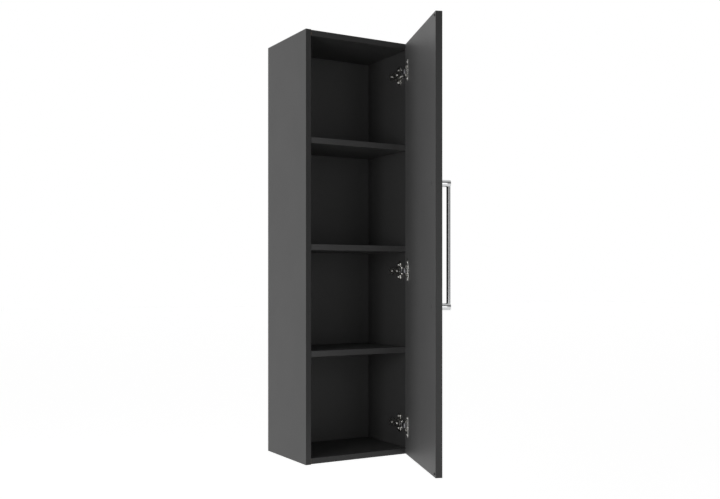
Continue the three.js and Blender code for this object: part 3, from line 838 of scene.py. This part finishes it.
def standOnPoints(name, spots, master, material, body, seed, replaces=()):
    points = bpy.data.meshes.new(name)
    points.from_pydata([tuple(spot[0]) for spot in spots], [], [])
    for column, label in ((1, "facing"), (2, "size")):
        values = points.attributes.new(label, "FLOAT_VECTOR", "POINT")
        values.data.foreach_set("vector", [number for spot in spots for number in spot[column]])
    holder = bpy.data.objects.new(name, points)
    scene.collection.objects.link(holder)
    modifier = holder.modifiers.new("copies", "NODES")
    modifier.node_group = standTree
    items = standTree.interface.items_tree
    sockets = {item.name: item.identifier for item in items if item.in_out == "INPUT"}
    modifier[sockets["Master"]] = master
    modifier[sockets["Finish"]] = material
    modifier[sockets["Seed"]] = seed
    depsgraph = bpy.context.evaluated_depsgraph_get()
    baked = bpy.data.meshes.new_from_object(holder.evaluated_get(depsgraph), depsgraph=depsgraph)
    bpy.data.objects.remove(holder)
    bm = bmesh.new()
    bm.from_mesh(baked)
    for face in bm.faces:
        face.material_index = 0
    bmesh.ops.recalc_face_normals(bm, faces=bm.faces)
    addPiece(name, bm, body, [material], replaces, None, screwStyle["sharp"])


screwStyle = {
    "sides": 28, "sharp": 28,                    # round the head, and the angle in degrees left sharp
    "pan": [(0.06, -6.3), (0.3, -6.1), (0.5, -5.6), (0.5, 0.0), (0.96, 0.0), (1.0, 0.1), (1.0, 0.42),
            (0.94, 0.62), (0.8, 0.8), (0.56, 0.92), (0.3, 0.98), (0.06, 1.0)],
    "flat": [(0.06, -3.8), (0.3, -3.5), (0.5, -3.2), (0.52, -0.5), (0.97, -0.06), (0.98, 0.0), (0.5, 0.0),
             (0.06, 0.0)],
    "cam": [(0.06, -0.3), (0.98, -0.3), (0.98, 0.04), (0.94, 0.08), (0.8, 0.08), (0.75, 0.03), (0.06, 0.03)],
    "rivet": [(0.06, -0.1), (1.0, -0.1), (1.0, 0.35), (0.94, 0.68), (0.78, 0.9), (0.45, 1.0), (0.06, 1.02)],
    "cross": (0.15, 0.56, 0.5),                  # the driver's cross: half width, reach, share at its floor
    "panCross": (1.3, 0.25), "flatCross": (0.3, -0.45), "camCross": (0.3, -0.22),        # its top and floor
    "weld": 0.0005,
}


def makeMaster(name, profile, cross=None):
    # one unit screw: head radius 1, with a driver's cross cut into it when one is given
    bm = lathe(bmesh.new(), screwStyle[profile], screwStyle["sides"], Matrix())
    mesh = bpy.data.meshes.new(name)
    bm.to_mesh(mesh)
    bm.free()
    master = bpy.data.objects.new(name, mesh)
    scene.collection.objects.link(master)
    if not cross:
        return master
    w, reach, narrow = screwStyle["cross"]
    plus = [(w, w), (w, reach), (-w, reach), (-w, w), (-reach, w), (-reach, -w),
            (-w, -w), (-w, -reach), (w, -reach), (w, -w), (reach, -w), (reach, w)]
    ends = ((narrow, cross[1]), (1.0, cross[0]))
    rings = [[(x * size, y * size, z) for x, y in plus] for size, z in ends]
    bm = ringLoft(bmesh.new(), rings)
    cutMesh = bpy.data.meshes.new("driverCross")
    bm.to_mesh(cutMesh)
    bm.free()
    cutter = bpy.data.objects.new("driverCross", cutMesh)
    scene.collection.objects.link(cutter)
    cut = master.modifiers.new("cross", "BOOLEAN")
    cut.operation, cut.object, cut.solver = "DIFFERENCE", cutter, "EXACT"
    depsgraph = bpy.context.evaluated_depsgraph_get()
    master.data = bpy.data.meshes.new_from_object(master.evaluated_get(depsgraph), depsgraph=depsgraph)
    master.modifiers.clear()
    bm = bmesh.new()
    bm.from_mesh(master.data)
    bmesh.ops.remove_doubles(bm, verts=bm.verts, dist=screwStyle["weld"])
    bmesh.ops.triangulate(bm, faces=bm.faces, ngon_method="EAR_CLIP")
    bmesh.ops.recalc_face_normals(bm, faces=bm.faces)
    bm.to_mesh(master.data)
    bm.free()
    bpy.data.objects.remove(cutter)
    return master


headStyle = {
    "lock": (3.6, 1.8), "adjust": (3.6, 1.8), "plate": (4.0, 1.9), "cup": (3.8, 1.5),    # radius and height
    "rivet": (2.8, 1.15),
    "cam": 7.5, "camIn": 34.0, "camRows": (52.0, 188.0),     # radius, from a board's ends and front edge
}


def headSize(kind):
    radius, height = headStyle[kind]
    return Vector((radius, radius, height)) * mm


def wallScrewSpots():
    spots, nodes = [], []
    for where in levels:
        for kind, end in (("lock", ""), ("adjust", ""), ("plate", "_top"), ("plate", "_bottom")):
            nodes.append(f"{where}_{kind}_screw{end}")
            low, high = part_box(nodes[-1])
            size = headSize(kind)
            spots.append(((low.x + size.z, (low.y + high.y) / 2, (low.z + high.z) / 2), (-1, 0, 0), size))
    return spots, nodes


def cupScrewSpots():
    spots, nodes = [], []
    facing, size = swingOpen.to_3x3() @ Vector((0, 1, 0)), headSize("cup")
    for where in levels:
        for end in ("top", "bottom"):
            nodes.append(f"{where}_cup_screw_{end}")
            low, high = shutBox(nodes[-1])
            place = Vector(((low.x + high.x) / 2, high.y - size.z, (low.z + high.z) / 2))
            spots.append((swingOpen @ place, facing, size))
    return spots, nodes


def hangerScrewSpots():
    spots, nodes = [], []
    for side in ("left", "right"):
        for end in ("outer", "inner"):
            nodes.append(f"hanger_screw_{side}_{end}")
            low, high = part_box(nodes[-1])
            radius = (high.x - low.x) / 2
            place = ((low.x + high.x) / 2, high.y, (low.z + high.z) / 2)
            spots.append((place, (0, 1, 0), (radius,) * 3))
    return spots, nodes


def rivetSpots():
    spots = []
    rise, back = armStyle["rivetLine"]
    for where in levels:
        for side in (-1, 1):
            place = wallFrame(where) @ Vector((back, side * armStyle["cheek"], rise))
            spots.append((place, (0, 0, -side), headSize("rivet")))
    return spots


def camSpots():
    # on the outsides of the top and bottom boards
    spots = []
    size = (headStyle["cam"] * mm,) * 3
    inward = headStyle["camIn"] * mm
    for node, way in (("top_panel", 1), ("bottom_panel", -1)):
        low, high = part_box(node)
        outside = high.z if way > 0 else low.z
        for x in (low.x + inward, high.x - inward):
            spots += [((x, low.y + back * mm, outside), (0, 0, way), size) for back in headStyle["camRows"]]
    return spots


panScrew = makeMaster("panScrew", "pan", screwStyle["panCross"])
flatScrew = makeMaster("flatScrew", "flat", screwStyle["flatCross"])
camMaster = makeMaster("camMaster", "cam", screwStyle["camCross"])
rivetMaster = makeMaster("rivetMaster", "rivet")
wallSpots, wallNodes = wallScrewSpots()
cupSpots, cupNodes = cupScrewSpots()
hangerSpots, hangerNodes = hangerScrewSpots()
standOnPoints("hingeScrews.cabinet", wallSpots, panScrew, brightNickel, "carcass", 3, wallNodes)
standOnPoints("hingeScrews.door", cupSpots, panScrew, brightNickel, "door", 5, cupNodes)
standOnPoints("hangerScrews", hangerSpots, flatScrew, zinc, "carcass", 7, hangerNodes)
standOnPoints("hingeRivets", rivetSpots(), rivetMaster, brightNickel, "carcass", 9)
standOnPoints("camFittings", camSpots(), camMaster, zinc, "carcass", 11)
for master in (panScrew, flatScrew, camMaster, rivetMaster):
    bpy.data.objects.remove(master)
print("screws, rivets and cam fittings made")

smallStyle = {
    "coverSides": 48, "coverRim": (0.9, 0.6),    # the cover's cap reaches this far out and stands this proud
    "coverGap": 0.03,                            # and its back stops this far off the door
    "bumperSides": 40,
    "hangerEdge": 0.3,
}


def makeCover(where):
    low, high = shutBox(f"screw_cover_{where}")
    radius, thick = (high.x - low.x) / 2 / mm, (high.y - low.y) / mm
    centre = (low + high) / 2
    place = frameAt((centre.x, high.y, centre.z), (1, 0, 0), (0, 0, 1), (0, -1, 0))
    rim, proud = smallStyle["coverRim"]
    cap, back = radius + rim, -smallStyle["coverGap"]
    plug = [(0.2, thick), (radius - 0.2, thick), (radius, thick - 0.2), (radius, back)]
    dome = [(cap, back), (cap, -proud * 0.4), (cap - 0.15, -proud * 0.7), (cap - 0.5, -proud * 0.9),
            (radius * 0.7, -proud), (0.2, -proud)]
    bm = lathe(bmesh.new(), plug + dome, smallStyle["coverSides"], place)
    addPiece(f"screwCover.{where}", bm, "door", [coverPlastic], [f"screw_cover_{where}"], swingOpen)


def makeBumper(where):
    low, high = shutBox(f"door_bumper_{where}")
    radius, height = (high.x - low.x) / 2 / mm, (high.y - low.y) / mm
    centre = (low + high) / 2
    place = frameAt((centre.x, low.y, centre.z), (1, 0, 0), (0, 0, -1), (0, 1, 0))
    profile = [(0.2, 0.0), (radius - 0.15, 0.0), (radius, 0.15), (radius, height * 0.45),
               (radius * 0.94, height * 0.72), (radius * 0.78, height * 0.9), (radius * 0.5, height * 0.98),
               (0.2, height)]
    bm = lathe(bmesh.new(), profile, smallStyle["bumperSides"], place)
    addPiece(f"doorBumper.{where}", bm, "door", [rubber], [f"door_bumper_{where}"], swingOpen)


for where in ("lower", "upper"):
    makeCover(where)
    makeBumper(where)
for side in ("left", "right"):
    node = f"hanger_plate_{side}"
    piece = addPiece(f"hangerPlate.{side}", copyOfNode(node), "carcass", [zinc], [node])
    softenEdges(piece, smallStyle["hangerEdge"] * mm)
for where in ("lower", "upper"):
    # the handle's own screw, inside the door behind its cover
    finishes = frame["nodes"][f"handle_screw_{where}"].data.materials
    finishes.clear()
    finishes.append(nickel)
print("small pieces made")

stageStyle = {
    "floorDrop": 0.5, "floorSize": 30.0,
    "floorColor": 0.8, "floorRoughness": 0.9, "floorLift": 0.73,
}


def makeFloor():
    bm = bmesh.new()
    bmesh.ops.create_grid(bm, x_segments=1, y_segments=1, size=stageStyle["floorSize"])
    mesh = bpy.data.meshes.new("floor")
    bm.to_mesh(mesh)
    bm.free()
    mesh.transform(Matrix.Translation((0, 0, cadBounds[0][2] - stageStyle["floorDrop"])))
    floor = bpy.data.objects.new("floor", mesh)
    scene.collection.objects.link(floor)
    material, tree, shader = newMaterial("paleFloor", Roughness=stageStyle["floorRoughness"])
    level = stageStyle["floorColor"]
    shader.inputs["Base Color"].default_value = (level, level, level, 1)
    shader.inputs["Emission Color"].default_value = (1, 1, 1, 1)
    # lifted to white where it is looked at or mirrored, and darker only where the cabinet shades it
    seen = addNode(tree, "LightPath")
    looked = math(tree, "MAXIMUM", seen.outputs["Is Camera Ray"], seen.outputs["Is Transmission Ray"])
    looked = math(tree, "MAXIMUM", looked, seen.outputs["Is Glossy Ray"])
    lift = math(tree, "MULTIPLY", looked, stageStyle["floorLift"])
    tree.links.new(lift, shader.inputs["Emission Strength"])
    # clear from below, so that the underside of the cabinet can be looked at through it
    below = addNode(tree, "NewGeometry").outputs["Backfacing"]
    tree.links.new(math(tree, "SUBTRACT", 1.0, below), shader.inputs["Alpha"])
    mesh.materials.append(material)


worldStyle = {
    "level": 0.2,                                # even light from all round
    "lobes": (                                   # broad glows: where each lies, and its strength
        ((0.0, 1.0, 0.0), 0.1),
        ((0.0, 0.0, 1.0), 0.05),
        ((1.0, -0.2, 0.0), 0.1),
    ),
    "backdrop": ((0.15, 1.0, 0.45), -0.5, 0.35), # which way it stands, and where it begins and is full
}


def makeWorld():
    world = bpy.data.worlds.new("studio")
    scene.world = world
    world.use_nodes = True
    tree = world.node_tree
    direction = addNode(tree, "TexCoord").outputs["Generated"]

    def glow(way, start, end, strength):
        along = addNode(tree, "VectorMath", {"operation": "DOT_PRODUCT"}, i0=direction,
                        i1=tuple(Vector(way).normalized())).outputs["Value"]
        return addNode(tree, "MapRange", {"interpolation_type": "SMOOTHSTEP"}, Value=along, i1=start, i2=end,
                       i3=0.0, i4=strength).outputs[0]

    level = worldStyle["level"]
    for way, strength in worldStyle["lobes"]:
        level = math(tree, "ADD", level, glow(way, 0.0, 1.0, strength))
    # white to the camera, through clear plastic, and where polished or satin surfaces mirror the backdrop
    seen = addNode(tree, "LightPath").outputs
    mirrored = math(tree, "MULTIPLY", seen["Is Glossy Ray"], glow(*worldStyle["backdrop"], 1.0))
    white = math(tree, "MAXIMUM", seen["Is Camera Ray"], seen["Is Transmission Ray"])
    white = math(tree, "MAXIMUM", white, mirrored)
    dimmed = math(tree, "MULTIPLY", level, math(tree, "SUBTRACT", 1.0, white))
    background = tree.nodes["Background"]
    tree.links.new(math(tree, "ADD", dimmed, white), background.inputs["Strength"])
    background.inputs["Color"].default_value = (1, 1, 1, 1)


lampStyle = {
    "nearBox": {
        "place": (-0.5, -3.3, -0.5), "towards": (0.0, -0.2, -0.5), "size": (0.8, 2.0), "watts": 7.4,
    },
    "leftFrontBox": {
        "place": (-2.5, -1.6, -0.5), "towards": (0.0, -0.4, -0.5), "size": (0.8, 1.2), "watts": 23.0,
    },
    "leftBackBox": {
        "place": (-3.0, 0.8, -0.5), "towards": (0.0, -0.4, -0.5), "size": (1.2, 2.0), "watts": 19.0,
    },
}


def makeLamps():
    for name, style in lampStyle.items():
        data = bpy.data.lights.new(name, "AREA")
        data.shape = "RECTANGLE"
        data.size, data.size_y = style["size"]
        data.energy = style["watts"]
        lamp = bpy.data.objects.new(name, data)
        lamp.location = style["place"]
        aim = Vector(style["towards"]) - lamp.location
        lamp.rotation_euler = aim.to_track_quat("-Z", "Y").to_euler()
        lamp.visible_camera = False
        scene.collection.objects.link(lamp)


cameraStyle = {
    "place": (-1.3189, -2.5169, -0.633),
    "turn": -30.13,
    "lens": 46.15, "sensor": 36.0,
    "shiftY": 0.0421,
    "clipEnd": 60.0,
}


def makeCamera():
    data = bpy.data.cameras.new("camera")
    data.lens = cameraStyle["lens"]
    data.sensor_width = cameraStyle["sensor"]
    data.shift_y = cameraStyle["shiftY"]
    data.clip_end = cameraStyle["clipEnd"]
    camera = bpy.data.objects.new("camera", data)
    camera.location = cameraStyle["place"]
    camera.rotation_euler = (radians(90), 0, radians(cameraStyle["turn"]))
    scene.collection.objects.link(camera)
    scene.camera = camera


makeFloor()
makeWorld()
makeLamps()
makeCamera()
print("stage, light and camera made")
